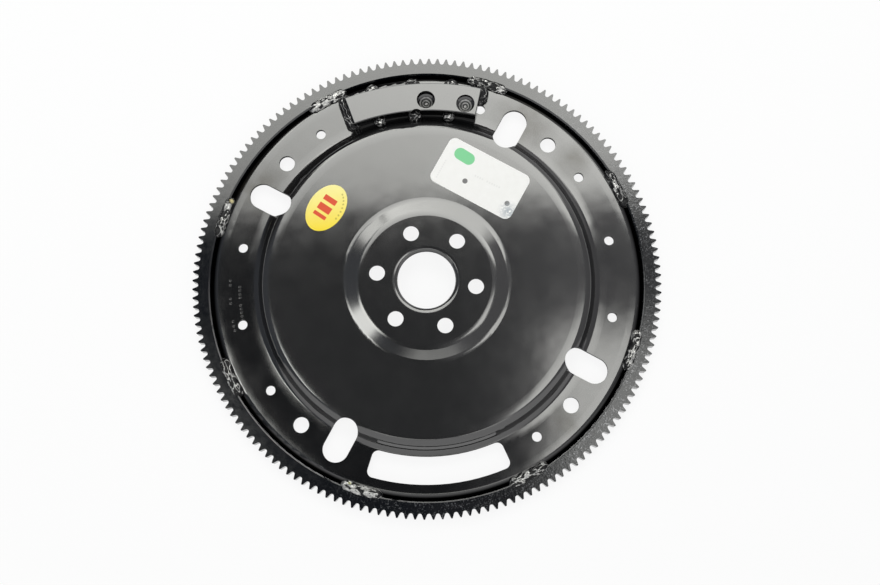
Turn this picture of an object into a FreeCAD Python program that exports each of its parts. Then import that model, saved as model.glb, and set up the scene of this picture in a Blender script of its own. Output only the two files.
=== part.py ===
import FreeCAD, Part
import math
import os

# A starter flexplate: a pressed steel drive plate with a toothed starter ring welded round its rim
# and a balance block welded to its front. It lies flat on the back of the ring, front face up.
# The origin is on the wheel's axis in the plane that it rests on, +Z is up along the axis,
# and the block lies towards +Y. All lengths are in millimetres and all angles in degrees.

# Ring gear. Its outer radius drives the whole wheel: everything on the rim keeps its place inside it
tip_radius = 180.3
tooth_count = 164
tooth_depth = 4.5
ring_depth = 8.8
gear_width = 10.0
gear_proud = 1.0
gear_inner_chamfer = 1.1
tooth_tip_width = 1.3
tooth_crown = 0.35
flank_angle = 21.0
flank_share = 0.72
first_tooth_angle = -0.2

# Pressed plate, with bend radii measured on the inside of each bend. A lead is where a flat already
# turns a little towards the bend beside it
sheet = 3.5
bore_radius = 22.2
bore_mouth_radius = 2.1
hub_flat_radius = 50.0
hub_step_width = 15.0
swage_width = 11.9
land_width = 33.85
hub_rise = 2.4
disc_rise = 9.6
hub_bend_radius = 16.5
swage_crest_bend = 3.3
swage_foot_bend = 6.0
swage_lead_width = 5.8
swage_lead_slope = 3.8
rim_bend = 2.8
rim_lead_width = 5.0
rim_lead_slope = 2.2
rim_recess = 1.0
rim_fit = 0.05
least_rim_wall = 0.5
largest_bend_share = 0.98

# Crank flange holes: five on an even circle, and one moved round it so that the plate fits one way
crank_circle_radius = 38.1
crank_hole_radius = 6.1
crank_hole_angles = [48.0, 168.0, 228.0, 288.0, 348.0]
offset_hole_angle = 104.1
offset_ledge_shift = 1.6
offset_ledge_depth = 0.8

# Converter stud holes and the slots beside them, one of each to a quarter. A reach or a setback is
# measured outwards from the inner edge of the land, and an overlap inwards from it
stud_reach = 11.68
stud_hole_radius = 6.1
first_stud_angle = 45.0
quarter_count = 4
slot_width = 20.0
slot_overlap = 13.1
slot_reach = 21.9
slot_lead_angle = 12.7

# Small holes on the stud circle, and the long window opposite the block
small_hole_radius = 3.75
small_hole_angles = [9.0, 31.0, 69.0, 121.0, 165.0, 189.0, 211.0, 301.0, 345.0]
window_setback = 0.3
window_reach = 21.3
window_centre_angle = 269.6
window_span_angle = 42.0
window_corner_radius = 5.0

# Balance block, a sector of a bar whose arcs share a centre below the wheel's axis
block_arc_offset = 32.5
block_setback = 0.8
block_width = 22.1
block_height = 12.7
block_half_angle = 16.5
block_edge = 0.6
drill_radius = 7.15
drill_point_angle = 118.0
drill_reach = 9.5
deep_drill_angle = 86.15
deep_drill_depth = 7.5
shallow_drill_angle = 73.7
shallow_drill_depth = 4.3
notch_radius = 4.6
notch_bite = 1.5
notch_angle = 89.4

# Weld beads between rim and ring, and how far any weld reaches below the front of the land
weld_root = 2.1
ring_weld_angles = [22.6, 69.2, 114.0, 157.6, 202.2, 248.8, 293.5, 337.3]
ring_weld_span = 11.2
ring_weld_radius = 5.2
ring_weld_setback = 1.0
ring_weld_end = 4.7
ring_weld_crown = 1.6

# Welds that hold the block
end_weld_radius = 6.0
end_weld_height = 2.6
left_weld_start = 4.0
left_weld_length = 17.0
right_weld_start = 18.6
right_weld_length = 2.6
tack_angles = [-9.6, 0.0, 9.2]
inner_tack_radius = 4.7
inner_tack_height = 3.4
inner_tack_setback = 1.3
middle_tack_radius = 5.4
outer_tack_radius = 6.2
outer_tack_height = 1.4
outer_tack_setback = 1.3

# Paper labels on the disc. Each is as wide as the gaps to the disc's edge and to the hub leave it
label_thickness = 0.2
label_edge_gap = 11.55
white_label_hub_gap = 5.35
white_label_aspect = 1.789
white_label_corner_share = 0.14
white_label_angle = 58.6
white_label_turn = -33.0
oval_label_hub_gap = 16.95
oval_label_aspect = 1.44
oval_label_angle = 139.6
oval_label_turn = 52.0

# Radii that follow from the sizes above
root_radius = tip_radius - tooth_depth
gear_inner_radius = root_radius - ring_depth
rim_outer_radius = gear_inner_radius - rim_fit
land_inner_radius = rim_outer_radius - land_width
disc_outer_radius = land_inner_radius - swage_width
disc_inner_radius = hub_flat_radius + hub_step_width
stud_circle_radius = land_inner_radius + stud_reach
slot_inner_radius = land_inner_radius - slot_overlap
slot_outer_radius = land_inner_radius + slot_reach
window_inner_radius = land_inner_radius + window_setback
window_outer_radius = land_inner_radius + window_reach
block_inner_reach = land_inner_radius + block_setback
drill_circle_radius = land_inner_radius + drill_reach
label_edge_radius = disc_outer_radius - label_edge_gap
white_label_width = label_edge_radius - disc_inner_radius - white_label_hub_gap
white_label_length = white_label_width * white_label_aspect
white_label_corner = white_label_width * white_label_corner_share
oval_label_width = label_edge_radius - disc_inner_radius - oval_label_hub_gap
oval_label_length = oval_label_width * oval_label_aspect

# Heights above the resting plane
land_height = gear_width - gear_proud
disc_height = land_height + disc_rise
hub_height = disc_height + hub_rise
block_top = land_height + block_height
cut_low = -5.0
cut_high = max(hub_height, block_top) + 5.0


def polar(radius, angle, height=0.0):
    """A point at a radius and an angle round the axis."""
    turn = math.radians(angle)
    return FreeCAD.Vector(radius * math.cos(turn), radius * math.sin(turn), height)


def section(radius, height):
    """A point of the half section, which lies in the XZ plane."""
    return FreeCAD.Vector(radius, 0, height)


def arc(first, middle, last):
    return Part.Arc(first, middle, last).toShape()


def section_arc(centre, radius, start, end):
    """An arc of the half section. Its angles are measured from straight up towards the rim."""
    points = []
    for angle in (start, (start + end) / 2, end):
        turn = math.radians(angle)
        points.append(section(centre[0] + radius * math.sin(turn), centre[1] + radius * math.cos(turn)))
    return arc(*points)


def join(edges):
    """Put straight edges in the gaps between a list of edges, and close them into one wire."""
    joined = []
    for index, edge in enumerate(edges):
        following = edges[(index + 1) % len(edges)]
        end = edge.lastVertex(True).Point
        start = following.firstVertex(True).Point
        joined.append(edge)
        if end.distanceToPoint(start) > 1e-6:
            joined.append(Part.makeLine(end, start))
    return Part.Wire(joined)


def turned(wire, angle=360.0):
    """The solid that a closed half section sweeps round the wheel's axis."""
    return Part.Face(wire).revolve(FreeCAD.Vector(0, 0, 0), FreeCAD.Vector(0, 0, 1), angle)


def upright_cylinder(radius, centre, low, high):
    foot = FreeCAD.Vector(centre.x, centre.y, low)
    return Part.makeCylinder(radius, high - low, foot)


def step(crest, foot, crest_bend, foot_bend, lead_width=0.0, lead_slope=0.0):
    """A pressed step between two flats of the front face, as the centres, radii and slopes of its bends.

    The crest and the foot are the radius and height at which the bends start and end. A lead is the
    much larger bend by which the flat beside them already turns. The bends get smaller together
    where the step is too short for them.
    """
    turn = math.radians(lead_slope)
    lead_drop = lead_width * math.tan(turn / 2)
    width = foot[0] - crest[0]
    drop = crest[1] - foot[1] - 2 * lead_drop
    along = width * math.cos(turn) + drop * math.sin(turn)
    fall = drop * math.cos(turn) - width * math.sin(turn)
    total = crest_bend + foot_bend
    largest = largest_bend_share * (along ** 2 + fall ** 2) / (2 * fall)
    share = min(1.0, largest / total)
    crest_bend *= share
    foot_bend *= share
    total = crest_bend + foot_bend
    straight = math.sqrt(along ** 2 + (total - fall) ** 2 - total ** 2)
    slope = math.degrees(math.atan2(along, total - fall) - math.atan2(straight, total))
    crest_centre = (crest[0] - crest_bend * math.sin(turn),
                    crest[1] - lead_drop - crest_bend * math.cos(turn))
    foot_centre = (foot[0] + foot_bend * math.sin(turn),
                   foot[1] + lead_drop + foot_bend * math.cos(turn))
    bends = [(crest_centre, crest_bend, lead_slope, lead_slope + slope),
             (foot_centre, -foot_bend, lead_slope + slope, lead_slope)]
    if lead_width > 0:
        lead_bend = lead_width / math.sin(turn)
        bends.insert(0, ((crest[0] - lead_width, crest[1] - lead_bend), lead_bend, 0.0, lead_slope))
        bends.append(((foot[0] + lead_width, foot[1] + lead_bend), -lead_bend, lead_slope, 0.0))
    return bends


def bend_edges(bends, depth):
    """The arcs of some bends, on the surface that lies a depth below the front face."""
    return [section_arc(centre, radius - depth, first, last) for centre, radius, first, last in bends]


def rim_bends():
    """The lead and the bend that roll the land's outer edge down to an upright wall."""
    turn = math.radians(rim_lead_slope)
    radius = min(rim_bend + sheet, land_height - rim_recess - least_rim_wall)
    lead_bend = rim_lead_width / math.sin(turn)
    lead_drop = rim_lead_width * math.tan(turn / 2)
    centre = (rim_outer_radius - radius, land_height - lead_drop - radius * math.cos(turn))
    lead_start = centre[0] + radius * math.sin(turn) - rim_lead_width
    return [((lead_start, land_height - lead_bend), lead_bend, 0.0, rim_lead_slope),
            (centre, radius, rim_lead_slope, 90.0)]


def reversed_edges(edges):
    """The same edges, walked the other way."""
    flipped = []
    for edge in reversed(edges):
        curve = edge.Curve.copy()
        middle = curve.value((edge.FirstParameter + edge.LastParameter) / 2)
        flipped.append(arc(edge.lastVertex(True).Point, middle, edge.firstVertex(True).Point))
    return flipped


def plate_section():
    """The closed half section of the pressing: hub, disc, land and rolled rim, all one thickness."""
    bends = step((hub_flat_radius, hub_height), (disc_inner_radius, disc_height),
                 hub_bend_radius + sheet, hub_bend_radius)
    bends += step((disc_outer_radius, disc_height), (land_inner_radius, land_height),
                  swage_crest_bend + sheet, swage_foot_bend, swage_lead_width, swage_lead_slope)
    bends += rim_bends()
    mouth_centre = (bore_radius + bore_mouth_radius, hub_height - bore_mouth_radius)
    mouth = section_arc(mouth_centre, bore_mouth_radius, -90.0, 0.0)
    rim_end = Part.makeLine(section(rim_outer_radius, rim_recess),
                            section(rim_outer_radius - sheet, rim_recess))
    bore_wall = Part.makeLine(section(bore_radius, hub_height - sheet),
                              section(bore_radius, hub_height - bore_mouth_radius))
    back = reversed_edges(bend_edges(bends, sheet))
    return join([bore_wall, mouth] + bend_edges(bends, 0.0) + [rim_end] + back)


def slot_cutter(angle):
    """A radial slot with full round ends, upright through the plate."""
    end_radius = slot_width / 2
    inner = section(slot_inner_radius + end_radius, cut_low)
    outer = section(slot_outer_radius - end_radius, cut_low)
    side = FreeCAD.Vector(0, end_radius, 0)
    reach = FreeCAD.Vector(end_radius, 0, 0)
    outline = join([
        arc(inner + side, inner - reach, inner - side),
        arc(outer - side, outer + reach, outer + side),
    ])
    cutter = Part.Face(outline).extrude(FreeCAD.Vector(0, 0, cut_high - cut_low))
    cutter.rotate(FreeCAD.Vector(0, 0, 0), FreeCAD.Vector(0, 0, 1), angle)
    return cutter


def sector(inner, outer, middle_angle, half_angle, low, high):
    """An upright prism between two concentric arcs."""
    first = middle_angle - half_angle
    last = middle_angle + half_angle
    outline = join([
        arc(polar(inner, last, low), polar(inner, middle_angle, low), polar(inner, first, low)),
        arc(polar(outer, first, low), polar(outer, middle_angle, low), polar(outer, last, low)),
    ])
    return Part.Face(outline).extrude(FreeCAD.Vector(0, 0, high - low))


def window_cutter():
    """The long curved window, with its four upright corners rounded."""
    cutter = sector(window_inner_radius, window_outer_radius, window_centre_angle,
                    window_span_angle / 2, cut_low, cut_high)
    corners = []
    for edge in cutter.Edges:
        along = edge.lastVertex().Point - edge.firstVertex().Point
        if abs(along.z) > 1.0:
            corners.append(edge)
    return cutter.makeFillet(window_corner_radius, corners)


def make_drive_plate():
    plate = turned(plate_section())
    cutters = [window_cutter()]
    for angle in crank_hole_angles + [offset_hole_angle]:
        centre = polar(crank_circle_radius, angle)
        cutters.append(upright_cylinder(crank_hole_radius, centre, cut_low, cut_high))
    ledge_centre = polar(crank_circle_radius - offset_ledge_shift, offset_hole_angle)
    ledge_low = hub_height - offset_ledge_depth
    cutters.append(upright_cylinder(crank_hole_radius, ledge_centre, ledge_low, cut_high))
    for angle in small_hole_angles:
        centre = polar(stud_circle_radius, angle)
        cutters.append(upright_cylinder(small_hole_radius, centre, cut_low, cut_high))
    for quarter in range(quarter_count):
        angle = first_stud_angle + quarter * 360.0 / quarter_count
        centre = polar(stud_circle_radius, angle)
        cutters.append(upright_cylinder(stud_hole_radius, centre, cut_low, cut_high))
        cutters.append(slot_cutter(angle + slot_lead_angle))
    return plate.cut(cutters)


def tooth_edges(angle):
    """One tooth and the round root after it, as edges in the plane of the gear's back face."""
    pitch = 360.0 / tooth_count
    crown_radius = tip_radius - tooth_crown
    tip_half = math.degrees(tooth_tip_width / 2 / crown_radius)
    flank_reach = tip_radius - root_radius - tooth_crown
    flank_depth = flank_share * flank_reach
    root_half_width = tooth_tip_width / 2 + flank_depth * math.tan(math.radians(flank_angle))
    root_half = math.degrees(root_half_width / root_radius)
    shoulder_radius = crown_radius - flank_depth
    tip = arc(polar(crown_radius, angle - tip_half), polar(tip_radius, angle),
              polar(crown_radius, angle + tip_half))
    root = arc(polar(shoulder_radius, angle + root_half), polar(root_radius, angle + pitch / 2),
               polar(shoulder_radius, angle + pitch - root_half))
    return [tip, root]


def gear_bore():
    """The room inside the ring, with the chamfer at its front edge."""
    mouth = gear_inner_radius + gear_inner_chamfer
    return turned(join([
        Part.makeLine(section(0, cut_low), section(gear_inner_radius, cut_low)),
        Part.makeLine(section(gear_inner_radius, gear_width - gear_inner_chamfer),
                      section(mouth, gear_width)),
        Part.makeLine(section(mouth, cut_high), section(0, cut_high)),
    ]))


def make_ring_gear():
    outline = []
    for index in range(tooth_count):
        outline += tooth_edges(first_tooth_angle + index * 360.0 / tooth_count)
    gear = Part.Face(join(outline)).extrude(FreeCAD.Vector(0, 0, gear_width))
    return gear.cut(gear_bore())


def make_gear_body():
    """The ring under its teeth, which is all of it that the welds meet."""
    return Part.makeCylinder(root_radius, gear_width).cut(gear_bore())


def block_arc_centre():
    return FreeCAD.Vector(0, -block_arc_offset, 0)


def block_point(radius, angle, height):
    """A point beside the block. The radius runs from the wheel's axis at the block's middle,
    and the angle is measured from the block's middle, round the centre of the block's arcs."""
    return polar(radius + block_arc_offset, 90.0 - angle, height) + block_arc_centre()


def drill_cutter(angle, depth):
    """A blind drilling from the block's top, with the cone that a drill leaves."""
    cone_depth = drill_radius / math.tan(math.radians(drill_point_angle / 2))
    centre = polar(drill_circle_radius, angle)
    low = block_top - depth
    wall = upright_cylinder(drill_radius, centre, low, cut_high)
    tip = FreeCAD.Vector(centre.x, centre.y, low - cone_depth)
    return wall.fuse(Part.makeCone(0, drill_radius, cone_depth, tip))


def make_counterweight(seat):
    """The block, with its foot fitted to the pressing that it sits on."""
    inner = block_inner_reach + block_arc_offset
    block = sector(inner, inner + block_width, 90.0, block_half_angle, land_height, block_top)
    block.translate(block_arc_centre())
    rim = []
    for edge in block.Edges:
        heights = [vertex.Point.z for vertex in edge.Vertexes]
        if min(heights) > block_top - 0.001:
            rim.append(edge)
    block = block.makeChamfer(block_edge, rim)
    notch_centre = polar(block_inner_reach + notch_bite - notch_radius, notch_angle)
    notch = upright_cylinder(notch_radius, notch_centre, cut_low, cut_high)
    deep = drill_cutter(deep_drill_angle, deep_drill_depth)
    shallow = drill_cutter(shallow_drill_angle, shallow_drill_depth)
    return block.cut([notch, deep, shallow, seat])


def trimmed(blank, carriers):
    """A weld as it sits in the corner between its carriers, with nothing below its root."""
    floor_height = land_height - weld_root
    floor = Part.makeBox(4 * tip_radius, 4 * tip_radius, floor_height + 4 * tip_radius,
                         FreeCAD.Vector(-2 * tip_radius, -2 * tip_radius, -4 * tip_radius))
    bead = blank.cut([floor] + carriers)
    return max(bead.Solids, key=lambda solid: solid.Volume)


def make_ring_weld(angle, carriers):
    """A bead in the groove between rim and ring, with round ends and a low crown."""
    centre_radius = gear_inner_radius - ring_weld_setback
    centre_height = gear_width + ring_weld_crown - ring_weld_radius
    half_span = ring_weld_span / 2 - math.degrees(ring_weld_end / centre_radius)
    circle = Part.Wire(Part.makeCircle(ring_weld_radius, section(centre_radius, centre_height),
                                       FreeCAD.Vector(0, 1, 0)))
    body = turned(circle, 2 * half_span)
    axis = FreeCAD.Vector(0, 0, 1)
    body.rotate(FreeCAD.Vector(0, 0, 0), axis, angle - half_span)
    ends = []
    for side in (-1, 1):
        ends.append(Part.makeSphere(ring_weld_radius, polar(centre_radius, angle + side * half_span,
                                                            centre_height)))
    return trimmed(body.fuse(ends), carriers)


def make_end_weld(side, start, length, carriers):
    """A bead along one end of the block, from a start beyond the block's inner edge."""
    height = land_height + end_weld_height
    first = block_point(block_inner_reach + start, side * block_half_angle, height)
    last = block_point(block_inner_reach + start + length, side * block_half_angle, height)
    body = Part.makeCylinder(end_weld_radius, length, first, last - first)
    ends = [Part.makeSphere(end_weld_radius, first), Part.makeSphere(end_weld_radius, last)]
    return trimmed(body.fuse(ends), carriers)


def make_tack(radius, reach, angle, height, carriers):
    """A round weld tack at the foot of the block."""
    return trimmed(Part.makeSphere(radius, block_point(reach, angle, land_height + height)), carriers)


def on_disc(face, width, angle, turn):
    """A flat face of a width, thickened into paper and laid on the front of the disc."""
    label = face.extrude(FreeCAD.Vector(0, 0, label_thickness))
    label.rotate(FreeCAD.Vector(0, 0, 0), FreeCAD.Vector(0, 0, 1), turn)
    label.translate(polar(label_edge_radius - width / 2, angle, disc_height))
    return label


def make_white_label():
    half_length = white_label_length / 2
    half_width = white_label_width / 2
    inset = white_label_corner * (1 - math.sqrt(0.5))
    corners = []
    for side_x, side_y in ((1, 1), (-1, 1), (-1, -1), (1, -1)):
        flat_x = side_x * (half_length - white_label_corner)
        flat_y = side_y * (half_width - white_label_corner)
        on_end = FreeCAD.Vector(side_x * half_length, flat_y, 0)
        on_side = FreeCAD.Vector(flat_x, side_y * half_width, 0)
        middle = FreeCAD.Vector(side_x * (half_length - inset), side_y * (half_width - inset), 0)
        if side_x * side_y > 0:
            corners.append(arc(on_end, middle, on_side))
        else:
            corners.append(arc(on_side, middle, on_end))
    return on_disc(Part.Face(join(corners)), white_label_width, white_label_angle, white_label_turn)


def make_yellow_label():
    oval = Part.Ellipse(FreeCAD.Vector(0, 0, 0), oval_label_length / 2, oval_label_width / 2)
    face = Part.Face(Part.Wire(oval.toShape()))
    return on_disc(face, oval_label_width, oval_label_angle, oval_label_turn)


def make_parts():
    plate = make_drive_plate()
    gear = make_ring_gear()
    pressing = turned(plate_section())
    block = make_counterweight(pressing)
    parts = {"drive_plate": plate, "ring_gear": gear, "counterweight": block}
    groove = [pressing, make_gear_body()]
    for index, angle in enumerate(ring_weld_angles):
        parts["ring_weld_%d" % (index + 1)] = make_ring_weld(angle, groove)
    corner = groove + [block, parts["ring_weld_2"], parts["ring_weld_3"]]
    parts["block_end_weld_left"] = make_end_weld(-1, left_weld_start, left_weld_length, corner)
    parts["block_end_weld_right"] = make_end_weld(1, right_weld_start, right_weld_length, corner)
    outer_reach = block_inner_reach + block_width + outer_tack_setback
    for index, angle in enumerate(tack_angles):
        middle = index == 1
        radius = middle_tack_radius if middle else inner_tack_radius
        reach = block_inner_reach - inner_tack_setback
        inner = make_tack(radius, reach, angle, inner_tack_height, corner)
        outer = make_tack(outer_tack_radius, outer_reach, angle, outer_tack_height, corner)
        parts["block_tack_inner_%d" % (index + 1)] = inner
        parts["block_tack_outer_%d" % (index + 1)] = outer
    parts["white_label"] = make_white_label()
    parts["yellow_label"] = make_yellow_label()
    return parts


os.makedirs("parts", exist_ok=True)
for name, shape in make_parts().items():
    shape.exportStep(os.path.join("parts", name + ".step"))
    print("%-22s volume %10.1f valid %s solids %d" % (name, shape.Volume, shape.isValid(),
                                                     len(shape.Solids)))
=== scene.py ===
"""The looks of a flexplate that lies face up on a pale studio floor, seen from nearly above.

Lengths are in metres unless a name says otherwise, and angles in degrees round the wheel's axis from +X.
The frame's origin is on that axis in the plane of the floor, and +Y points to the balance block.
"""

import math

import bpy
from mathutils import Matrix, Vector, noise


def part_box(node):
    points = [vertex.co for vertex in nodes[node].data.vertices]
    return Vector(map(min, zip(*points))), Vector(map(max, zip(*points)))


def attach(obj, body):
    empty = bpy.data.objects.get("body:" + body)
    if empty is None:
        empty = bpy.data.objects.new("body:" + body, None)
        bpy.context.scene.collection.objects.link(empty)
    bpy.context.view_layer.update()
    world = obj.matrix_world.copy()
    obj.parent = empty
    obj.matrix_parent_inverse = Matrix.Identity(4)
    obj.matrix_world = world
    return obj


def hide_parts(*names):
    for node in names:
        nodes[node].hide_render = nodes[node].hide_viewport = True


MM = 0.001

# Camera, found by fitting the holes' centres in the photograph
CAMERA_PLACE = (0.0025, -0.1974, 1.0360)
CAMERA_AIM = (0.0097, -0.0070, 0.0)
CAMERA_ROLL = -4.2
CAMERA_LENS_MM = 55.6
SENSOR_MM = 36.0

# Studio: each panel is its centre, its size and its turn, the radiance at its near left, near right,
# far left and far right corner, and the widths of its soft edges. All of them hang at one height
PANEL_HEIGHT = 1.5
PANEL_COLOUR = (1.0, 1.0, 0.955)
PANELS = {
    "top": ((0.13, 0.872), (1.16, 0.90), -2.0, (2.2, 4.3, 6.0, 3.6), (0.02, 0.02)),
    "top_left": ((-0.585, 1.045), (0.27, 0.65), -2.0, (3.6, 3.7, 5.2, 5.4), (0.04, 0.04)),
    "top_right": ((0.86, 0.99), (0.28, 0.52), -2.0, (3.0, 1.5, 3.0, 1.5), (0.02, 0.05)),
    "top_far": ((-0.33, 1.59), (1.28, 0.46), -2.0, (4.9, 3.8, 4.9, 3.8), (0.06, 0.06)),
    "right": ((0.355, 0.01), (0.33, 0.39), 0.0, (3.5, 4.0, 2.9, 2.9), (0.05, 0.06)),
    "left": ((-0.626, -0.055), (0.48, 0.42), 27.0, (5.8, 6.8, 5.2, 6.6), (0.05, 0.07)),
    "front": ((0.03, -0.53), (0.85, 0.15), 0.0, (1.5, 1.5, 1.5, 1.5), (0.06, 0.03)),
}

# Room: side walls that are dim on the left and lighter on the right, a bright wall behind the camera, a
# back wall that is nearly black but for its right end, and a ceiling that is nearly black on the left.
# A span is the part of a direction along X, Y or Z over which one of them gives way to the next
WORLD_LEFT = (0.175, 0.190, 0.215)
WORLD_RIGHT = (0.34, 0.34, 0.35)
WORLD_FRONT = (0.90, 0.90, 0.90)
WORLD_BACK = (0.045, 0.045, 0.045)
WORLD_BACK_RIGHT = (0.70, 0.70, 0.70)
WORLD_OVERHEAD = (0.033, 0.036, 0.040)
WORLD_SIDE_SPAN = (-0.3, 0.5)
WORLD_BACK_SPAN = (0.32, 0.55)
WORLD_BACK_SIDE_SPAN = (0.20, 0.45)
WORLD_FRONT_SPAN = (-0.24, -0.30)
WORLD_OVERHEAD_SPAN = (0.925, 0.965)
WORLD_OVERHEAD_SIDE_SPAN = (0.0, 0.13)
FLOOR_SPREAD = 6.0
FLOOR_COLOUR = (0.86, 0.87, 0.88)
FLOOR_SHOWN_WHITE = 0.88

# Colours of paint, dust and bare metal
BLACK = (0.003, 0.003, 0.0034)
# Painted sheen: a lighter base colour on the disc and hub, standing in for the light they reflect
DISC_PAINTED_SHEEN = (0.018, 0.018, 0.0185)
DUST = (0.05, 0.05, 0.05)
SCUFF = (0.020, 0.017, 0.011)
GEAR_BLACK = (0.0022, 0.003, 0.0048)
GEAR_DUST = (0.12, 0.122, 0.13)
TURNED_DARK = (0.015, 0.015, 0.015)
TURNED_BRIGHT = (0.50, 0.50, 0.49)
SLAG = (0.004, 0.004, 0.005)
SILVER = (0.68, 0.68, 0.66)
DULL_SILVER = (0.34, 0.34, 0.34)
CREAM = (0.62, 0.55, 0.30)
RUST = (0.55, 0.22, 0.05)
OLIVE = (0.42, 0.44, 0.22)
CHALK = (0.80, 0.80, 0.80)

# Gloss of each material. A roughness runs from its first value to its second over smears or tones
PRESSING_IOR = 2.01
GEAR_IOR = 1.80
BLOCK_IOR = 2.08
SLAG_IOR = 1.4
PAPER_IOR = 1.45
PRESSING_ROUGHNESS = (0.092, 0.124)
GEAR_ROUGHNESS = (0.085, 0.13)
BLOCK_ROUGHNESS = (0.115, 0.15)
WELD_ROUGHNESS = (0.50, 0.38)
WHITE_ROUGHNESS = (0.42, 0.5)
YELLOW_ROUGHNESS = (0.32, 0.42)

# Cloudy masks: size of a lump, detail, seed, and the part of the noise that goes from 0 to 1
DUST_SPECKS = (0.7 * MM, 1.0, 0.0, 0.73, 0.80)
DUST_HAZE = (22 * MM, 3.0, 0.0, 0.45, 0.75)
PRESSING_SMEARS = (14 * MM, 4.0, 3.0, 0.35, 0.65)
SCUFF_CLOUD = (11 * MM, 4.0, 12.0, 0.30, 0.62)
GEAR_GRAINS = (1.2 * MM, 1.0, 0.0, 0.55, 0.66)
GEAR_GRAIN_COVER = (9 * MM, 2.0, 2.0, 0.35, 0.6)
GEAR_SMEARS = (5 * MM, 3.0, 4.0, 0.3, 0.7)
# Patches of the painted highlight on the gear's inner edge
EDGE_GLINT_PATCHES = (7 * MM, 3.0, 9.0, 0.30, 0.42)
BLOCK_SMEARS = (12 * MM, 4.0, 3.0, 0.35, 0.65)
DRILL_SMUDGE = (1.6 * MM, 2.0, 2.0, 0.35, 0.55)
WHITE_TONE = (6 * MM, 3.0, 0.0, 0.3, 0.7)
YELLOW_TONE = (5 * MM, 3.0, 0.0, 0.3, 0.7)
SMUDGE_WEAR = (1.3 * MM, 4.0, 9.0, 0.36, 0.50)

# Bumps: size of a lump, detail, seed and depth
PRESSING_WAVES = (16 * MM, 1.0, 5.0, 55e-6)
BLOCK_WAVES = (14 * MM, 1.0, 5.0, 22e-6)
ORANGE_PEEL = (1.3 * MM, 1.0, 7.0, 1.6e-6)
GEAR_SKIN = (4 * MM, 2.0, 6.0, 12e-6)
WHITE_FIBRES = (0.5 * MM, 3.0, 4.0, 4e-6)
YELLOW_FIBRES = (0.6 * MM, 3.0, 4.0, 3e-6)
GEAR_PITS = (1.3 * MM, 1.0, 8.0, 32e-6)

# Upright faces: how level a face may be, and how much of its gloss one loses
CUT_SPAN = (0.5, 0.3)
CUT_GLOSS_LOST = 0.85
CUT_ROUGHNESS = 0.55

# Pressed plate: where the disc's painted sheen (a lighter base colour) ends and the painted shade in the
# groove beside the gear begins, scuffs as angle and radius, stamped rows as radius, first angle, step and
# which marks are there, and the ring round the bore in which the hub's front leans inwards
DISC_PAINTED_SHEEN_RADII = (118 * MM, 134 * MM)
GROOVE_RADII = (161.6 * MM, 163.7 * MM)
GROOVE_PAINTED_SHADE = 0.9
LAND_MIDDLE = 149 * MM
SCUFF_PLACES = [(55.0, 17 * MM), (36.0, 10 * MM), (146.0, 15 * MM), (310.0, 9 * MM)]
SCUFF_EDGE_SHARE = 1.4
SCUFF_THINNEST = 0.35
SCUFF_GLOSS_LOST = 0.42
STAMP_SIZE = (2.0 * MM, 1.1 * MM)
STAMP_CORNER = 0.5 * MM
STAMP_EDGE = 0.3 * MM
STAMP_DEPTH = 0.12 * MM
STAMP_ROWS = [
    (151.2 * MM, 175.3, 1.35, (0, 1, 4, 5, 9, 10, 11)),
    (143.8 * MM, 177.2, 1.15, (0, 1, 2, 3, 5, 6, 7, 8, 9)),
]
LIP_RADII = (22.0 * MM, 26.6 * MM)
LIP_DEPTH = 0.46 * MM

# Gear: a side that is coarser and duller than the rest, with spans along its own direction, and a painted
# highlight of bare silver along the inner edge in the lower half, with a span along Y
GEAR_COARSE_WAY = (1.0, -0.6, 0.0)
GEAR_COARSE_SPAN = (0.0, 0.12)
GEAR_LEAST_COARSE = 0.15
GEAR_LEAST_COVER = 0.1
GEAR_DULL_SPAN = (0.09, 0.15)
GEAR_DULL_GLOSS_LOST = 0.36
GEAR_COARSE_ROUGHNESS = 0.03
EDGE_GLINT_RADIUS = 167.4 * MM
EDGE_GLINT_HALF_WIDTH = 0.45 * MM
EDGE_GLINT_SOFTNESS = 0.1 * MM
EDGE_GLINT_DEPTHS = (1.5 * MM, 1.0 * MM)
EDGE_GLINT_SPAN = (0.02, -0.06)
EDGE_GLINT_METAL = 0.6
EDGE_GLINT_ROUGHNESS = 0.35

# Balance block: the bare turned floors of its two drillings
DRILL_ANGLES = (86.15, 73.7)
DRILL_CIRCLE = 142.6 * MM
DRILL_FLOOR = 5.6 * MM
DRILL_FLOOR_EDGE = 0.3 * MM
DRILL_DEPTHS = (0.3 * MM, 0.9 * MM)
DRILL_CLEANEST = 0.45
DRILL_METAL = 0.5
DRILL_ROUGHNESS = 0.25
TOOL_RING_PITCH = 2.0 * MM
TOOL_RING_SPAN = (-0.6, 0.6)
TOOL_RING_DEPTH = 0.05 * MM

# White label: plain prints. A row is its start, its step, which marks are there, their size, how
# strong they are and their colour
WHITE_LABEL_TURN = -33.0
WHITE_MEAN = (0.84, 0.84, 0.83)
WHITE_TONES = ((0.84, 0.84, 0.825), (0.87, 0.87, 0.86))
FAINT_ROWS = [
    ((43.5 * MM, 79.0 * MM), (1.75 * MM, -1.05 * MM), (0, 1, 2, 3, 5, 6, 7, 8, 9, 10),
     (1.1 * MM, 1.5 * MM), 0.30, (0.55, 0.56, 0.56)),
    ((13.5 * MM, 80.5 * MM), (1.0 * MM, 1.55 * MM), (0, 1, 2, 3, 4, 5, 6, 7, 8),
     (1.0 * MM, 1.2 * MM), 0.25, (0.5, 0.5, 0.5)),
]
FAINT_CORNER = 0.4 * MM
FAINT_EDGE = 0.6 * MM
DOT_PLACES = [(35.1 * MM, 75.5 * MM), (66.1 * MM, 55.3 * MM)]
DOT_RADIUS = 2.05 * MM
DOT_EDGE = 0.3 * MM
DOT_GREY = (0.17, 0.17, 0.17)
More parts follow.
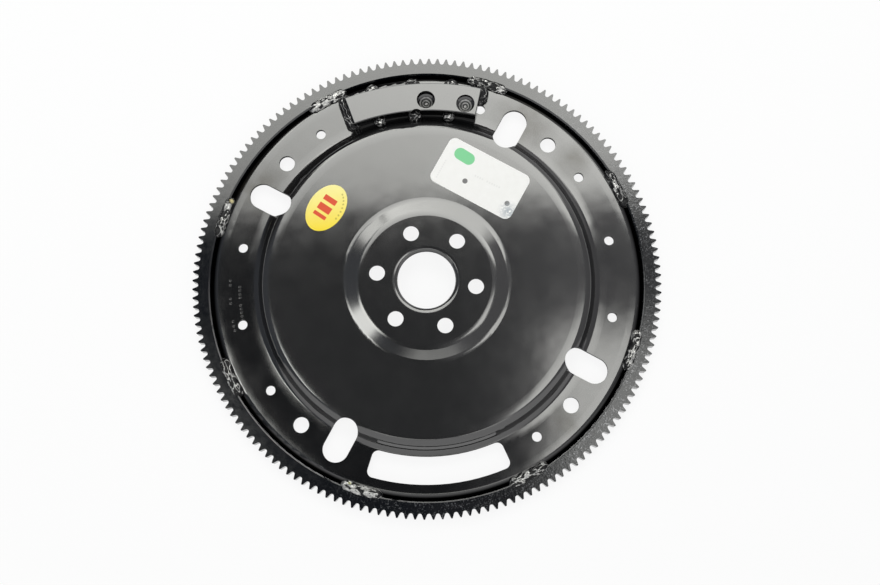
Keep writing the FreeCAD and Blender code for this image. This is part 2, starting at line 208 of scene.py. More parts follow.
GREEN_CENTRE = (36.3 * MM, 95.2 * MM)
GREEN_SIZE = (17.0 * MM, 9.6 * MM)
GREEN_TURN = -37.0
GREEN_CORNER = 4.704 * MM
GREEN_EDGE = 0.3 * MM
GREEN = (0.20, 0.62, 0.30)
SMUDGE_CENTRE = (66.5 * MM, 48.5 * MM)
SMUDGE_RADIUS = 5.6 * MM
SMUDGE_EDGE = 8.0 * MM
SMUDGE_GREY = (0.36, 0.39, 0.42)
SMUDGE_METAL = 0.5

# Yellow label: red bars as places from its middle and sizes, and small marks along its outline
OVAL_TURN = 52.0
OVAL_MEAN = (0.80, 0.66, 0.03)
# Yellow, and the lighter yellow of a painted sheen towards the label's top
OVAL_YELLOW_AND_SHEEN = ((0.91, 0.70, 0.012), (0.93, 0.88, 0.37))
OVAL_SHEEN_MARGIN = 4 * MM
RED_BARS = [
    ((-7.6 * MM, 1.0 * MM), (3.0 * MM, 11.0 * MM)),
    ((-1.0 * MM, 1.0 * MM), (5.6 * MM, 11.0 * MM)),
    ((6.8 * MM, 1.0 * MM), (4.4 * MM, 11.0 * MM)),
]
RED_CORNER = 0.5 * MM
RED_EDGE = 0.3 * MM
RED = (0.70, 0.065, 0.012)
OUTLINE_HALF = (16.8 * MM, 11.2 * MM)
OUTLINE_MARKS = 8
OUTLINE_START = -100.0
OUTLINE_STEP = 11.0
OUTLINE_MARK_SIZE = (1.2 * MM, 1.5 * MM)
OUTLINE_MARK_CORNER = 0.4 * MM
OUTLINE_MARK_EDGE = 0.5 * MM
OUTLINE_MARK_TURN = 30
OUTLINE_MARK_STRENGTH = 0.6
OUTLINE_MARK_COLOUR = (0.30, 0.24, 0.01)

# Weld form: size of a voxel, and how far the lumps, ripples and grains move the surface. The layers of
# the lumps are how fast they fade, how much finer each is than the one before, and their number
WELD_VOXEL = 0.42 * MM
WELD_LUMP = 0.95 * MM
WELD_LUMP_SIZE = 3.4 * MM
WELD_LUMP_LAYERS = (1.0, 2.0, 3)
WELD_RIPPLE = 0.16 * MM
WELD_RIPPLE_PITCH = 1.9 * MM
WELD_RIPPLE_SWAY = 0.8
WELD_GRAIN = 0.10 * MM
WELD_GRAIN_SIZE = 1.2 * MM
WELD_SEED_STEP = (0.37, 0.21, 0.13)

# Weld metal: silvery threads along the folds of the slag, and blobs that are larger where threads are
# wide. Smooth is the least detail that noise can have
RIM_RADIUS = 165.0 * MM
ALONG_RIM = (1.0, 0.40, 1.0)
ACROSS_RIM = (0.40, 1.0, 1.0)
SMOOTH = 1.0
FOLD_SIZE = 3.1 * MM
FOLD_DEPTH = 0.35 * MM
THREAD_EDGE = 0.015
BLOB_SIZE = 4.6 * MM
BLOB_START = 0.72
BLOB_EDGE = 0.03
BLOB_GROWTH = 1.5
BARE_METAL = 0.9
TONE_SIZE = 1.5 * MM
TONE_DETAIL = 2.0
TONE_SPAN = (0.35, 0.65)
SPOT_EDGE = 0.8 * MM
SPOT_HEIGHT = 10 * MM

# Ring welds: half the width of its silver threads, and its spots as radius, angle, size and colour
RING_WELDS = [
    (0.018, []),
    (0.045, []),
    (0.060, [(165.5 * MM, 112.0, 0.9 * MM, RUST)]),
    (0.022, [(165.0 * MM, 153.0, 1.9 * MM, CREAM)]),
    (0.028, []),
    (0.075, [(164.0 * MM, 245.3, 1.3 * MM, OLIVE)]),
    (0.035, [(164.5 * MM, 293.5, 0.8 * MM, CHALK)]),
    (0.035, []),
]
RING_METAL_SEED_STEP = 10.0

# Block welds: the same width for the ends and the tacks, and the seeds of their metal and of each form
END_THREADS = 0.018
END_METAL_SEED = 3.0
END_SEEDS = {"left": 11, "right": 12}
TACK_THREADS = 0.030
TACK_METAL_SEED = 5.0
TACK_SEEDS = {"inner": 20, "outer": 30}
TACKS_A_SIDE = 3


def add_camera():
    data = bpy.data.cameras.new("view")
    data.lens = CAMERA_LENS_MM
    data.sensor_width = SENSOR_MM
    camera = bpy.data.objects.new("view", data)
    bpy.context.scene.collection.objects.link(camera)
    place = Vector(CAMERA_PLACE)
    forward = (Vector(CAMERA_AIM) - place).normalized()
    right = forward.cross(Vector((0, 1, 0))).normalized()
    up = right.cross(forward)
    facing = Matrix((right, up, -forward)).transposed().to_4x4()
    roll = Matrix.Rotation(math.radians(CAMERA_ROLL), 4, "Z")
    camera.matrix_world = Matrix.Translation(place) @ facing @ roll
    bpy.context.scene.camera = camera


def add_panel(name, centre, size, turn, radiances, soft_edges):
    """A level soft box, brighter at one corner than at another, that fades at its edges."""
    data = bpy.data.lights.new("panel_" + name, "AREA")
    data.shape = "RECTANGLE"
    data.size, data.size_y = size
    data.energy = math.pi * size[0] * size[1]
    data.color = PANEL_COLOUR
    data.use_nodes = True
    tree = data.node_tree
    split = tree.nodes.new("ShaderNodeSeparateXYZ")
    tree.links.new(tree.nodes.new("ShaderNodeNewGeometry").outputs["Parametric"], split.inputs[0])
    across = split.outputs["X"]
    along = split.outputs["Y"]
    near = span(tree, across, 0.0, 1.0, radiances[0], radiances[1])
    far = span(tree, across, 0.0, 1.0, radiances[2], radiances[3])
    glow = plus(tree, times(tree, maths(tree, "SUBTRACT", far, near), along), near)
    for share, length, soft in ((across, size[0], soft_edges[0]), (along, size[1], soft_edges[1])):
        fade = span(tree, maths(tree, "PINGPONG", share, 0.5), 0.0, soft / length)
        glow = times(tree, fade, glow)
    tree.links.new(glow, tree.nodes["Emission"].inputs["Strength"])
    lamp = bpy.data.objects.new("panel_" + name, data)
    lamp.location = (centre[0], centre[1], PANEL_HEIGHT)
    lamp.rotation_euler = (0, 0, math.radians(turn))
    bpy.context.scene.collection.objects.link(lamp)


def world_blend(tree, source, bounds, low, high):
    """A colour that goes from low to high while a direction's part runs over its bounds."""
    falling = bounds[0] > bounds[1]
    ends = (1.0, 0.0) if falling else (0.0, 1.0)
    share = span(tree, source, min(bounds), max(bounds), *ends, shape="SMOOTHSTEP")
    return blend(tree, share, low, high)


def add_world():
    """A dim room, whose walls and ceiling are told apart by direction."""
    world = bpy.data.worlds.new("studio")
    bpy.context.scene.world = world
    world.use_nodes = True
    tree = world.node_tree
    split = tree.nodes.new("ShaderNodeSeparateXYZ")
    tree.links.new(tree.nodes.new("ShaderNodeTexCoord").outputs["Generated"], split.inputs[0])
    x, y, z = split.outputs
    sides = world_blend(tree, x, WORLD_SIDE_SPAN, WORLD_LEFT, WORLD_RIGHT)
    back_wall = world_blend(tree, x, WORLD_BACK_SIDE_SPAN, WORLD_BACK, WORLD_BACK_RIGHT)
    walls = world_blend(tree, y, WORLD_BACK_SPAN, sides, back_wall)
    walls = world_blend(tree, y, WORLD_FRONT_SPAN, walls, WORLD_FRONT)
    ceiling = world_blend(tree, x, WORLD_OVERHEAD_SIDE_SPAN, WORLD_OVERHEAD, WORLD_RIGHT)
    room = world_blend(tree, z, WORLD_OVERHEAD_SPAN, walls, ceiling)
    tree.links.new(room, tree.nodes["Background"].inputs["Color"])


def floor_material():
    """Pale grey, lifted towards white where the camera or a gloss sees it."""
    material = bpy.data.materials.new("floor")
    material.use_nodes = True
    tree = material.node_tree
    tree.nodes.clear()
    diffuse = tree.nodes.new("ShaderNodeBsdfDiffuse")
    diffuse.inputs["Color"].default_value = (*FLOOR_COLOUR, 1)
    shown = tree.nodes.new("ShaderNodeEmission")
    path = tree.nodes.new("ShaderNodeLightPath")
    seen = larger(tree, path.outputs["Is Camera Ray"], path.outputs["Is Glossy Ray"])
    mix = tree.nodes.new("ShaderNodeMixShader")
    out = tree.nodes.new("ShaderNodeOutputMaterial")
    tree.links.new(times(tree, seen, FLOOR_SHOWN_WHITE), mix.inputs["Fac"])
    tree.links.new(diffuse.outputs[0], mix.inputs[1])
    tree.links.new(shown.outputs[0], mix.inputs[2])
    tree.links.new(mix.outputs[0], out.inputs["Surface"])
    return material


def add_floor():
    mesh = bpy.data.meshes.new("floor")
    half = FLOOR_SPREAD / 2
    corners = [(-half, -half, 0), (half, -half, 0), (half, half, 0), (-half, half, 0)]
    mesh.from_pydata(corners, [], [(0, 1, 2, 3)])
    floor = bpy.data.objects.new("floor", mesh)
    bpy.context.scene.collection.objects.link(floor)
    mesh.materials.append(floor_material())


def new_material(name, colour, roughnesses, ior):
    """A material with its mean colour and roughness, which its own function then varies by place."""
    material = bpy.data.materials.new(name)
    material.use_nodes = True
    tree = material.node_tree
    shader = tree.nodes["Principled BSDF"]
    shader.inputs["Base Color"].default_value = (*colour, 1)
    shader.inputs["Roughness"].default_value = sum(roughnesses) / 2
    shader.inputs["IOR"].default_value = ior
    return material, tree, shader


def connect(tree, value, socket):
    """Feed a socket with a number, a vector, a colour or another node's output."""
    if isinstance(value, bpy.types.NodeSocket):
        tree.links.new(value, socket)
    elif isinstance(value, tuple) and socket.type == "RGBA":
        socket.default_value = (*value, 1)
    else:
        socket.default_value = value


def own_place(tree):
    """The place in the part's own frame, in metres."""
    return tree.nodes.new("ShaderNodeTexCoord").outputs["Object"]


def speckle(tree, place, size, detail, seed):
    """Soft noise with lumps of about a size, from 0 to 1."""
    node = tree.nodes.new("ShaderNodeTexNoise")
    node.noise_dimensions = "4D"
    connect(tree, place, node.inputs["Vector"])
    node.inputs["W"].default_value = seed
    node.inputs["Scale"].default_value = 1 / size
    node.inputs["Detail"].default_value = detail
    return node.outputs["Fac"]


def span(tree, value, low, high, start=0.0, end=1.0, shape="LINEAR"):
    """Map a value that runs from low to high onto the range from start to end."""
    node = tree.nodes.new("ShaderNodeMapRange")
    node.interpolation_type = shape
    connect(tree, value, node.inputs["Value"])
    node.inputs["From Min"].default_value = low
    node.inputs["From Max"].default_value = high
    node.inputs["To Min"].default_value = start
    node.inputs["To Max"].default_value = end
    return node.outputs["Result"]


def cloud(tree, place, texture, start=0.0, end=1.0):
    """A cloudy mask that runs from start to end."""
    size, detail, seed, low, high = texture
    return span(tree, speckle(tree, place, size, detail, seed), low, high, start, end)


def maths(tree, operation, first, second=0.0):
    node = tree.nodes.new("ShaderNodeMath")
    node.operation = operation
    connect(tree, first, node.inputs[0])
    connect(tree, second, node.inputs[1])
    return node.outputs[0]


def times(tree, first, second):
    return maths(tree, "MULTIPLY", first, second)


def plus(tree, first, second):
    return maths(tree, "ADD", first, second)


def larger(tree, first, second):
    return maths(tree, "MAXIMUM", first, second)


def vector_maths(tree, operation, first, second=(0.0, 0.0, 0.0)):
    node = tree.nodes.new("ShaderNodeVectorMath")
    node.operation = operation
    connect(tree, first, node.inputs[0])
    connect(tree, second, node.inputs[1])
    if operation in ("LENGTH", "DISTANCE", "DOT_PRODUCT"):
        return node.outputs["Value"]
    return node.outputs["Vector"]


def blend(tree, share, low, high):
    """A colour that goes from low to high with a share from 0 to 1."""
    node = tree.nodes.new("ShaderNodeMix")
    node.data_type = "RGBA"
    connect(tree, share, node.inputs["Factor"])
    connect(tree, low, node.inputs["A"])
    connect(tree, high, node.inputs["B"])
    return node.outputs["Result"]


def relief(tree, shader, height, depth, below=None):
    """Bumps of a depth in metres, where the height runs from 0 to 1."""
    node = tree.nodes.new("ShaderNodeBump")
    node.inputs["Strength"].default_value = 1.0
    node.inputs["Distance"].default_value = depth
    connect(tree, height, node.inputs["Height"])
    if below is not None:
        tree.links.new(below, node.inputs["Normal"])
    tree.links.new(node.outputs["Normal"], shader.inputs["Normal"])
    return node.outputs["Normal"]


def bumps(tree, shader, place, texture, below=None):
    """Noisy bumps, on top of those below."""
    size, detail, seed, depth = texture
    return relief(tree, shader, speckle(tree, place, size, detail, seed), depth, below)


def flat_part(tree, place):
    """The place without its height."""
    return vector_maths(tree, "MULTIPLY", place, (1.0, 1.0, 0.0))


def patch(tree, place, centre, size, turn, corner, edge):
    """A mask of a rounded rectangle on a level surface, 1 inside and 0 outside."""
    moved = vector_maths(tree, "SUBTRACT", place, (centre[0], centre[1], 0.0))
    node = tree.nodes.new("ShaderNodeVectorRotate")
    node.rotation_type = "Z_AXIS"
    node.inputs["Angle"].default_value = -math.radians(turn)
    connect(tree, moved, node.inputs["Vector"])
    folded = vector_maths(tree, "ABSOLUTE", node.outputs["Vector"])
    inset = (size[0] / 2 - corner, size[1] / 2 - corner, 1.0)
    beyond = vector_maths(tree, "MAXIMUM", vector_maths(tree, "SUBTRACT", folded, inset))
    distance = vector_maths(tree, "LENGTH", beyond)
    return span(tree, distance, corner + edge / 2, corner - edge / 2)


def spot(tree, place, centre, radius, edge):
    """A mask of a soft round spot, 1 inside and 0 outside."""
    distance = vector_maths(tree, "DISTANCE", place, centre)
    return span(tree, distance, radius + edge / 2, radius - edge / 2)


def part_of(tree, place, axis):
    """One coordinate of a place."""
    node = tree.nodes.new("ShaderNodeSeparateXYZ")
    tree.links.new(place, node.inputs[0])
    return node.outputs[axis]


def radius_of(tree, place):
    return vector_maths(tree, "LENGTH", flat_part(tree, place))


def wheel_place(tree, place, stretch):
    """The distance out from the axis, round the rim and up, each multiplied by its stretch."""
    turn = maths(tree, "ARCTAN2", part_of(tree, place, "Y"), part_of(tree, place, "X"))
    node = tree.nodes.new("ShaderNodeCombineXYZ")
    connect(tree, radius_of(tree, place), node.inputs["X"])
    connect(tree, times(tree, turn, RIM_RADIUS), node.inputs["Y"])
    connect(tree, part_of(tree, place, "Z"), node.inputs["Z"])
    return vector_maths(tree, "MULTIPLY", node.outputs[0], stretch)


def in_wheel(radius, angle, height=0.0):
    """The place at a radius, an angle and a height."""
    turn = math.radians(angle)
    return (radius * math.cos(turn), radius * math.sin(turn), height)


def turned(centre, shift, turn):
    """A centre moved by a shift that is first turned round the upright axis."""
    spin = math.radians(turn)
    return (centre[0] + shift[0] * math.cos(spin) - shift[1] * math.sin(spin),
            centre[1] + shift[0] * math.sin(spin) + shift[1] * math.cos(spin))


def cut_sides(tree):
    """A mask of upright faces, such as the walls of holes, which are dull and black in the photograph."""
    facing = tree.nodes.new("ShaderNodeTexCoord").outputs["Normal"]
    return span(tree, part_of(tree, facing, "Z"), *CUT_SPAN)


def scuffs(tree, place):
    """A mask of the land's four brownish dull places, cloudy inside and soft at the edge."""
    total = 0.0
    flat = flat_part(tree, place)
    for angle, radius in SCUFF_PLACES:
        soft = spot(tree, flat, in_wheel(LAND_MIDDLE, angle), radius, SCUFF_EDGE_SHARE * radius)
        total = larger(tree, soft, total)
    return times(tree, total, cloud(tree, place, SCUFF_CLOUD, SCUFF_THINNEST, 1.0))


def stamped_marks(tree, place):
    """Two rows of plain oval marks along the land's left side, from 0 to 1."""
    total = 0.0
    flat = flat_part(tree, place)
    for radius, first, step, taken in STAMP_ROWS:
        for index in taken:
            angle = first + step * index
            mark = patch(tree, flat, in_wheel(radius, angle), STAMP_SIZE, angle, STAMP_CORNER, STAMP_EDGE)
            total = larger(tree, mark, total)
    return total


def pressing_gloss(tree, shader, place, scuffed):
    """Smeared gloss that is lost on scuffs and on the walls of holes, and a painted shade in the groove
    beside the gear, made black by losing its gloss.
    """
    cut = cut_sides(tree)
    # Painted shade: the groove beside the gear loses its gloss and turns black
    groove = span(tree, radius_of(tree, place), *GROOVE_RADII, 0.0, GROOVE_PAINTED_SHADE)
    lost = larger(tree, times(tree, cut, CUT_GLOSS_LOST), times(tree, scuffed, SCUFF_GLOSS_LOST))
    tree.links.new(larger(tree, lost, groove), shader.inputs["Metallic"])
    smears = cloud(tree, place, PRESSING_SMEARS, *PRESSING_ROUGHNESS)
    tree.links.new(plus(tree, smears, times(tree, cut, CUT_ROUGHNESS)), shader.inputs["Roughness"])


def pressing_paint():
    """Gloss black on pressed sheet: a lighter disc and hub that are painted sheen, dust, scuffs, orange
    peel and long waves.
    """
    material, tree, shader = new_material("pressing_paint", BLACK, PRESSING_ROUGHNESS, PRESSING_IOR)
    place = own_place(tree)
    radius = radius_of(tree, place)
    dusty = times(tree, cloud(tree, place, DUST_SPECKS), cloud(tree, place, DUST_HAZE))
    # The disc and hub get a lighter base than the land: painted sheen
    disc_sheen = blend(tree, span(tree, radius, *DISC_PAINTED_SHEEN_RADII), DISC_PAINTED_SHEEN, BLACK)
    scuffed = scuffs(tree, place)
    colour = blend(tree, scuffed, blend(tree, dusty, disc_sheen, DUST), SCUFF)
    tree.links.new(colour, shader.inputs["Base Color"])
    pressing_gloss(tree, shader, place, scuffed)
    waves = bumps(tree, shader, place, PRESSING_WAVES)
    peel = bumps(tree, shader, place, ORANGE_PEEL, waves)
    marks = relief(tree, shader, stamped_marks(tree, place), -STAMP_DEPTH, peel)
    lip = span(tree, radius, *LIP_RADII, shape="SMOOTHERSTEP")
    relief(tree, shader, lip, LIP_DEPTH, marks)
    return material


def painted_edge_glint(tree, place):
    """A mask of a painted highlight: bare silver on the gear's inner edge at the front, patchy and only in
    the wheel's lower half.
    """
    off_edge = maths(tree, "ABSOLUTE", maths(tree, "SUBTRACT", radius_of(tree, place), EDGE_GLINT_RADIUS))
    edge = span(tree, off_edge, EDGE_GLINT_HALF_WIDTH - EDGE_GLINT_SOFTNESS, EDGE_GLINT_HALF_WIDTH + EDGE_GLINT_SOFTNESS, 1.0, 0.0)
    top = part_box("ring_gear")[1][2]
    front = span(tree, part_of(tree, place, "Z"), top - EDGE_GLINT_DEPTHS[0], top - EDGE_GLINT_DEPTHS[1])
    low_half = span(tree, part_of(tree, place, "Y"), *EDGE_GLINT_SPAN)
    return times(tree, times(tree, edge, front), times(tree, cloud(tree, place, EDGE_GLINT_PATCHES), low_half))


def gear_paint():
    """Thin black on a machined ring, gritty towards the lower right, with a painted highlight of bare
    silver along its inner edge.
    """
    material, tree, shader = new_material("gear_paint", GEAR_BLACK, GEAR_ROUGHNESS, GEAR_IOR)
    place = own_place(tree)
    sideways = vector_maths(tree, "DOT_PRODUCT", place, GEAR_COARSE_WAY)
    coarse = span(tree, sideways, *GEAR_COARSE_SPAN)
    gritty = span(tree, coarse, 0.0, 1.0, GEAR_LEAST_COARSE, 1.0)
    cover = times(tree, cloud(tree, place, GEAR_GRAIN_COVER, GEAR_LEAST_COVER, 1.0), gritty)
    grains = times(tree, cloud(tree, place, GEAR_GRAINS), cover)
    # Bare silver along the inner edge, in the lower half only: a painted highlight
    edge_glint = painted_edge_glint(tree, place)
    colour = blend(tree, edge_glint, blend(tree, grains, GEAR_BLACK, GEAR_DUST), DULL_SILVER)
    tree.links.new(colour, shader.inputs["Base Color"])
    dull = span(tree, sideways, *GEAR_DULL_SPAN, 0.0, GEAR_DULL_GLOSS_LOST)
    tree.links.new(larger(tree, times(tree, edge_glint, EDGE_GLINT_METAL), dull), shader.inputs["Metallic"])
    smears = cloud(tree, place, GEAR_SMEARS, *GEAR_ROUGHNESS)
    smears = plus(tree, smears, times(tree, coarse, GEAR_COARSE_ROUGHNESS))
    tree.links.new(plus(tree, smears, times(tree, edge_glint, EDGE_GLINT_ROUGHNESS)), shader.inputs["Roughness"])
    skin = bumps(tree, shader, place, GEAR_SKIN)
    size, detail, seed, depth = GEAR_PITS
    relief(tree, shader, times(tree, speckle(tree, place, size, detail, seed), gritty), depth, skin)
    return material


def drill_floors(tree, place):
    """A mask of the drillings' bare floors, and the waves of the tool's rings on them."""
    flat = flat_part(tree, place)
    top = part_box("counterweight")[1][2]
    below_top = span(tree, part_of(tree, place, "Z"), top - DRILL_DEPTHS[0], top - DRILL_DEPTHS[1])
    floors = 0.0
    rings = 0.0
    for angle in DRILL_ANGLES:
        distance = vector_maths(tree, "DISTANCE", flat, in_wheel(DRILL_CIRCLE, angle))
        inside = span(tree, distance, DRILL_FLOOR + DRILL_FLOOR_EDGE, DRILL_FLOOR - DRILL_FLOOR_EDGE)
        wave = maths(tree, "SINE", times(tree, distance, 2 * math.pi / TOOL_RING_PITCH))
        floors = larger(tree, inside, floors)
        rings = plus(tree, times(tree, inside, wave), rings)
    return times(tree, floors, below_top), rings


def block_paint():
    """Gloss black on the block, with rings of bare turned metal on the floors of its two drillings."""
    material, tree, shader = new_material("block_paint", BLACK, BLOCK_ROUGHNESS, BLOCK_IOR)
    place = own_place(tree)
    bare, rings = drill_floors(tree, place)
    bright = span(tree, rings, *TOOL_RING_SPAN)
    smudge = cloud(tree, place, DRILL_SMUDGE, DRILL_CLEANEST, 1.0)
    metal = blend(tree, times(tree, bright, smudge), TURNED_DARK, TURNED_BRIGHT)
    tree.links.new(blend(tree, bare, BLACK, metal), shader.inputs["Base Color"])
    # Upright faces lose their gloss and turn black
    dull_walls = times(tree, cut_sides(tree), CUT_GLOSS_LOST)
    tree.links.new(larger(tree, times(tree, bare, DRILL_METAL), dull_walls), shader.inputs["Metallic"])
    smears = cloud(tree, place, BLOCK_SMEARS, *BLOCK_ROUGHNESS)
    tree.links.new(plus(tree, smears, times(tree, bare, DRILL_ROUGHNESS)), shader.inputs["Roughness"])
    waves = bumps(tree, shader, place, BLOCK_WAVES)
    peel = bumps(tree, shader, place, ORANGE_PEEL, waves)
    relief(tree, shader, times(tree, rings, bare), TOOL_RING_DEPTH, peel)
    return material


def silver_in_slag(tree, drawn, folds, thread_width, seed):
    """A mask of threads along the middle of the folds, and of blobs between them."""
    off_middle = maths(tree, "ABSOLUTE", maths(tree, "SUBTRACT", folds, 0.5))
    threads = span(tree, off_middle, thread_width - THREAD_EDGE, thread_width + THREAD_EDGE, 1.0, 0.0)
    blob_start = BLOB_START - BLOB_GROWTH * thread_width
    blobs = span(tree, speckle(tree, drawn, BLOB_SIZE, SMOOTH, seed), blob_start, blob_start + BLOB_EDGE)
    return larger(tree, threads, blobs)


def weld_metal(name, thread_width, seed, stretch, spots=()):
    """Black slag crossed by threads and blobs of silvery metal, with a few small coloured spots."""
    material, tree, shader = new_material(name, SLAG, WELD_ROUGHNESS, SLAG_IOR)
    place = own_place(tree)
    drawn = wheel_place(tree, place, stretch)
    folds = speckle(tree, drawn, FOLD_SIZE, SMOOTH, seed)
    bare = silver_in_slag(tree, drawn, folds, thread_width, seed + 1)
    tone = span(tree, speckle(tree, drawn, TONE_SIZE, TONE_DETAIL, seed + 2), *TONE_SPAN)
    colour = blend(tree, bare, SLAG, blend(tree, tone, DULL_SILVER, SILVER))
    metal = times(tree, bare, BARE_METAL)
    for radius, angle, size, tint in spots:
        mask = spot(tree, place, in_wheel(radius, angle, SPOT_HEIGHT), size, SPOT_EDGE)
        colour = blend(tree, mask, colour, tint)
        metal = times(tree, metal, maths(tree, "SUBTRACT", 1.0, mask))
    tree.links.new(colour, shader.inputs["Base Color"])
    tree.links.new(metal, shader.inputs["Metallic"])
    tree.links.new(span(tree, tone, 0.0, 1.0, *WELD_ROUGHNESS), shader.inputs["Roughness"])
    relief(tree, shader, folds, FOLD_DEPTH)
    return material


def faint_rows(tree, flat, colour):
    """The colour below, with rows of faint plain marks printed on it."""
    for start, step, taken, size, strength, tint in FAINT_ROWS:
        for index in taken:
            centre = (start[0] + index * step[0], start[1] + index * step[1])
            mark = patch(tree, flat, centre, size, WHITE_LABEL_TURN, FAINT_CORNER, FAINT_EDGE)
            colour = blend(tree, times(tree, mark, strength), colour, tint)
    return colour


def white_paper():
    """Coated white paper with plain prints: a green oval, two grey dots, faint rows and a silver smudge."""
    material, tree, shader = new_material("white_paper", WHITE_MEAN, WHITE_ROUGHNESS, PAPER_IOR)
    place = own_place(tree)
    flat = flat_part(tree, place)
    tone = cloud(tree, place, WHITE_TONE)
    colour = faint_rows(tree, flat, blend(tree, tone, *WHITE_TONES))
    for centre in DOT_PLACES:
        dot = spot(tree, flat, (*centre, 0.0), DOT_RADIUS, DOT_EDGE)
        colour = blend(tree, dot, colour, DOT_GREY)
    green = patch(tree, flat, GREEN_CENTRE, GREEN_SIZE, GREEN_TURN, GREEN_CORNER, GREEN_EDGE)
    colour = blend(tree, green, colour, GREEN)
    smudge = spot(tree, flat, (*SMUDGE_CENTRE, 0.0), SMUDGE_RADIUS, SMUDGE_EDGE)
    smudge = times(tree, smudge, cloud(tree, place, SMUDGE_WEAR))
    tree.links.new(blend(tree, smudge, colour, SMUDGE_GREY), shader.inputs["Base Color"])
    tree.links.new(times(tree, smudge, SMUDGE_METAL), shader.inputs["Metallic"])
    tree.links.new(span(tree, tone, 0.0, 1.0, *WHITE_ROUGHNESS), shader.inputs["Roughness"])
    bumps(tree, shader, place, WHITE_FIBRES)
    return material


def red_bars(tree, flat, middle, colour):
    """The colour below, with plain red bars printed on it."""
    for shift, size in RED_BARS:
        bar = turned(middle, shift, OVAL_TURN)
        mark = patch(tree, flat, bar, size, OVAL_TURN, RED_CORNER, RED_EDGE)
        colour = blend(tree, mark, colour, RED)
    return colour


def outline_marks(tree, flat, middle, colour):
    """The colour below, with small plain marks printed along a part of the oval's outline."""
    for index in range(OUTLINE_MARKS):
        angle = math.radians(OUTLINE_START + index * OUTLINE_STEP)
        shift = (OUTLINE_HALF[0] * math.cos(angle), OUTLINE_HALF[1] * math.sin(angle))
        mark = patch(tree, flat, turned(middle, shift, OVAL_TURN), OUTLINE_MARK_SIZE,
                     OUTLINE_MARK_TURN * index, OUTLINE_MARK_CORNER, OUTLINE_MARK_EDGE)
        colour = blend(tree, times(tree, mark, OUTLINE_MARK_STRENGTH), colour, OUTLINE_MARK_COLOUR)
    return colour


def yellow_paper():
    """Glossy yellow paper, lighter towards its top with a painted sheen, with plain red bars and a few
    small olive marks.
    """
    material, tree, shader = new_material("yellow_paper", OVAL_MEAN, YELLOW_ROUGHNESS, PAPER_IOR)
    place = own_place(tree)
    flat = flat_part(tree, place)
    low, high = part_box("yellow_label")
    middle = ((low[0] + high[0]) / 2, (low[1] + high[1]) / 2)
    # Lighter towards the top: painted sheen
    sheen = span(tree, part_of(tree, place, "Y"), low[1], high[1] + OVAL_SHEEN_MARGIN)
    colour = red_bars(tree, flat, middle, blend(tree, sheen, *OVAL_YELLOW_AND_SHEEN))
    colour = outline_marks(tree, flat, middle, colour)
    tree.links.new(colour, shader.inputs["Base Color"])
    tree.links.new(cloud(tree, place, YELLOW_TONE, *YELLOW_ROUGHNESS), shader.inputs["Roughness"])
    bumps(tree, shader, place, YELLOW_FIBRES)
    return material


def dress(node, material):
    for slot in node.material_slots:
        slot.material = material


def remeshed(node, name, voxel):
    """A new piece with the node's form, in even small faces."""
    piece = bpy.data.objects.new(name, node.data.copy())
    piece.data.materials.clear()
    bpy.context.scene.collection.objects.link(piece)
    modifier = piece.modifiers.new("even", "REMESH")
    modifier.mode = "VOXEL"
    modifier.voxel_size = voxel
    depsgraph = bpy.context.evaluated_depsgraph_get()
    mesh = bpy.data.meshes.new_from_object(piece.evaluated_get(depsgraph))
    piece.modifiers.clear()
    piece.data = mesh
    return piece


def rough_height(place, along, seed):
    """How far a weld's surface stands out at a place, in metres."""
    shifted = place + Vector([seed * step for step in WELD_SEED_STEP])
    lump = noise.fractal(shifted / WELD_LUMP_SIZE, *WELD_LUMP_LAYERS)
    sway = WELD_RIPPLE_SWAY * noise.noise(shifted / (2 * WELD_LUMP_SIZE))
    ripple = math.cos(2 * math.pi * (along / WELD_RIPPLE_PITCH + sway))
    grain = noise.noise(shifted / WELD_GRAIN_SIZE)
    return WELD_LUMP * lump + WELD_RIPPLE * ripple + WELD_GRAIN * grain


def roughen(piece, seed, along_of):
    """Move a weld's surface in and out, the more the higher up it is."""
    mesh = piece.data
    low = min(vertex.co.z for vertex in mesh.vertices)
    high = max(vertex.co.z for vertex in mesh.vertices)
    normals = [vertex.normal.copy() for vertex in mesh.vertices]
    for vertex, normal in zip(mesh.vertices, normals):
        share = (vertex.co.z - low) / (high - low)
        vertex.co += normal * share * rough_height(vertex.co, along_of(vertex.co), seed)
    for face in mesh.polygons:
        face.use_smooth = True


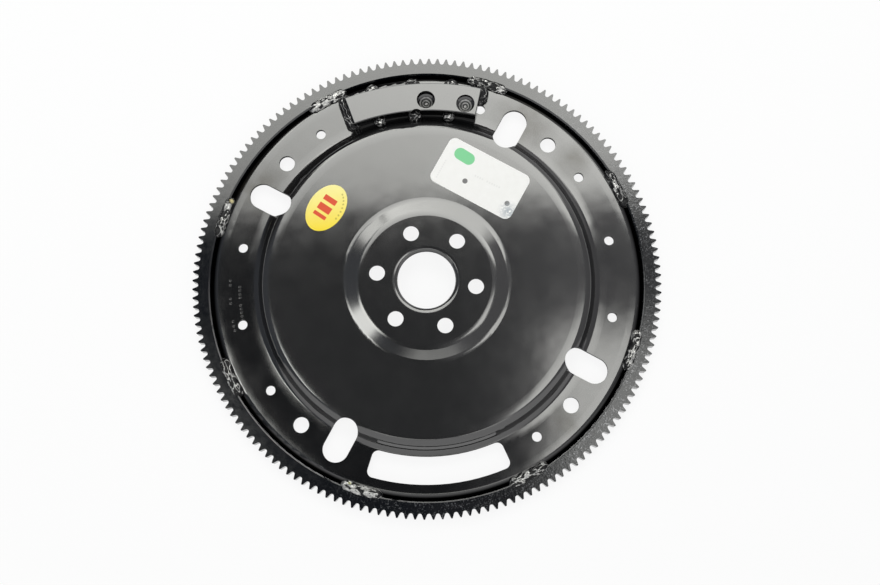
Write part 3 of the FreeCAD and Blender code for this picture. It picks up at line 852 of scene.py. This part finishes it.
def round_the_wheel(place):
    """How far round the wheel a place is, measured along the rim."""
    return math.atan2(place.y, place.x) * place.xy.length


def across_the_block(place):
    """How far a place is in the direction that goes out through the block."""
    return place.y


def add_weld(name, seed, along_of, material):
    """A rough bead in the place of a smooth one."""
    piece = remeshed(nodes[name], name + "_bead", WELD_VOXEL)
    roughen(piece, seed, along_of)
    piece.data.materials.append(material)
    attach(piece, "root")
    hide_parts(name)


def add_ring_welds():
    for index, (thread_width, spots) in enumerate(RING_WELDS):
        number = index + 1
        seed = RING_METAL_SEED_STEP * index
        metal = weld_metal("ring_weld_metal_%d" % number, thread_width, seed, ALONG_RIM, spots)
        add_weld("ring_weld_%d" % number, index, round_the_wheel, metal)


def add_block_welds():
    end_metal = weld_metal("block_end_metal", END_THREADS, END_METAL_SEED, ACROSS_RIM)
    for side, seed in END_SEEDS.items():
        add_weld("block_end_weld_" + side, seed, across_the_block, end_metal)
    tack_metal = weld_metal("block_tack_metal", TACK_THREADS, TACK_METAL_SEED, ALONG_RIM)
    for index in range(TACKS_A_SIDE):
        for side, seed in TACK_SEEDS.items():
            name = "block_tack_%s_%d" % (side, index + 1)
            add_weld(name, seed + index, across_the_block, tack_metal)


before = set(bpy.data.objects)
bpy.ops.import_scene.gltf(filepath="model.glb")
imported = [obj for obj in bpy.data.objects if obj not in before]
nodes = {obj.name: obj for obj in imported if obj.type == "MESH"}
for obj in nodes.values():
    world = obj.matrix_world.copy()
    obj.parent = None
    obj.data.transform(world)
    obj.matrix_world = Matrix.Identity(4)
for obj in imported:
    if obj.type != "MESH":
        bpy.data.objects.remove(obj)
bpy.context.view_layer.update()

dress(nodes["drive_plate"], pressing_paint())
dress(nodes["ring_gear"], gear_paint())
dress(nodes["counterweight"], block_paint())
dress(nodes["white_label"], white_paper())
dress(nodes["yellow_label"], yellow_paper())
add_ring_welds()
add_block_welds()

add_camera()
for panel, settings in PANELS.items():
    add_panel(panel, *settings)
add_world()
add_floor()
bpy.context.scene.view_settings.view_transform = "Standard"
